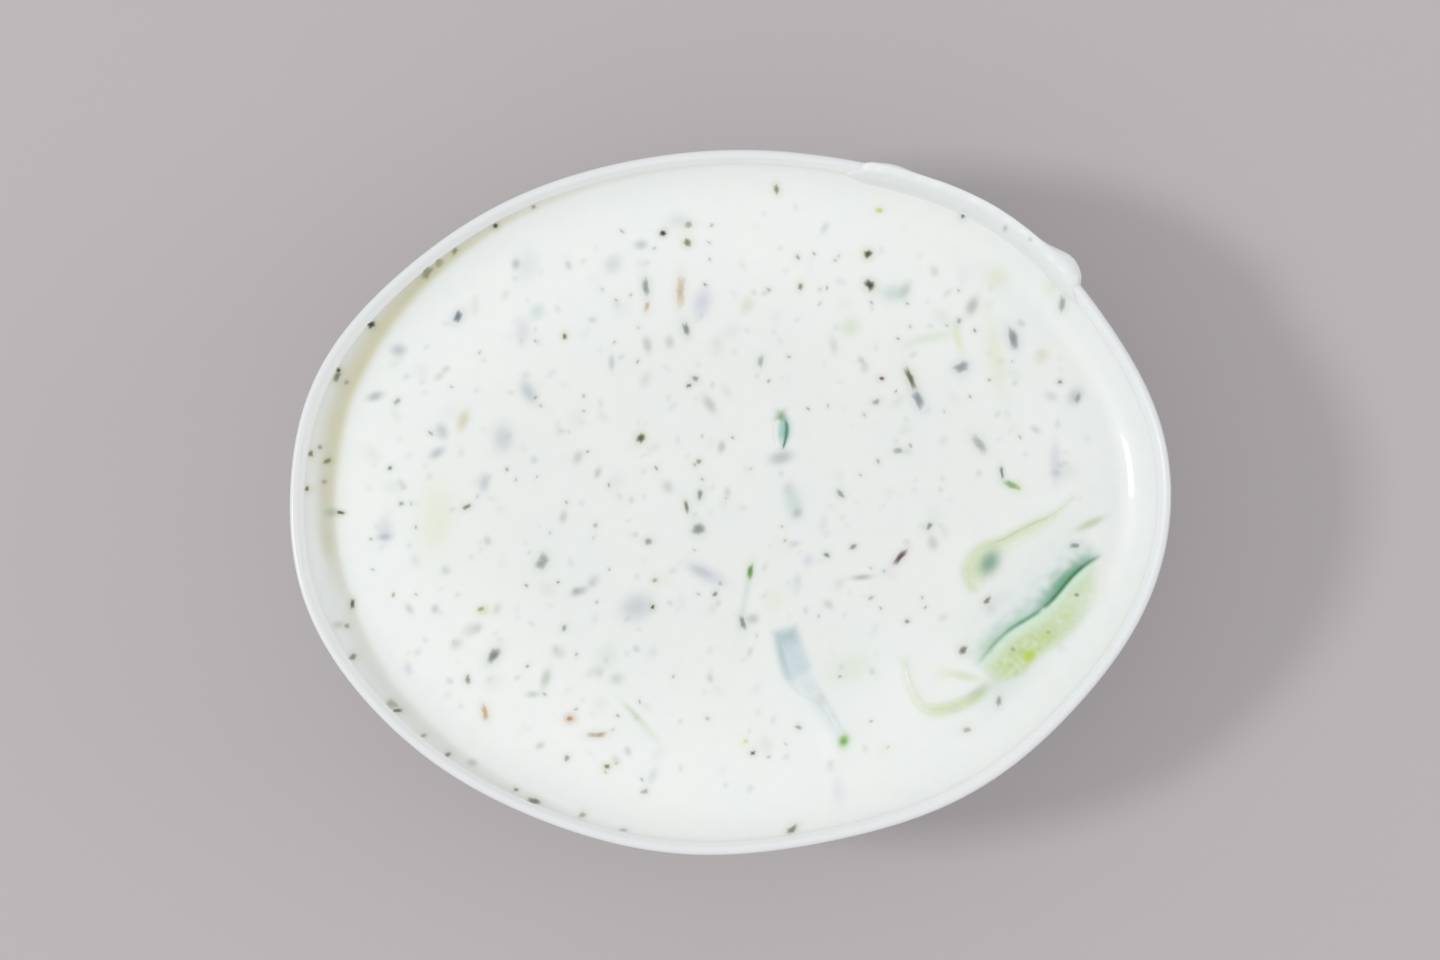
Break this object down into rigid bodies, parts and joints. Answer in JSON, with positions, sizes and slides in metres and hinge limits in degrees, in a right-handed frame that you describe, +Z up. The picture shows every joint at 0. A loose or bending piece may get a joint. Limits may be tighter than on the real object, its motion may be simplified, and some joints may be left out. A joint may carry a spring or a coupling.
{
  "type": "tzatziki dip in an oval bowl",
  "caption": "White yoghurt dip with cucumber pieces and herb flecks, level just under the rim of a thin-walled oval bowl with a foot ring.",
  "frame": {"origin": "under the middle of the bowl, on the plane its foot ring stands on", "axes": "+Z up out of the bowl, +X along the oval, +Y across it; the cucumber slice is at +X, -Y"},
  "size_m": [0.1313, 0.1047, 0.0369],
  "materials": {
    "bowl": "gloss",
    "dip": "satin",
    "cucumber": "satin",
    "cucumber_sunken": "satin",
    "herb": "satin"
  },
  "bodies": {
    "root": {"bowl": "bowl", "dip": "dip", "cucumber_slice": "cucumber", "cucumber_curl": "cucumber", "cucumber_hook": "cucumber", "cucumber_strip": "cucumber_sunken", "herb_leaf": "herb"}
  },
  "joints": []
}
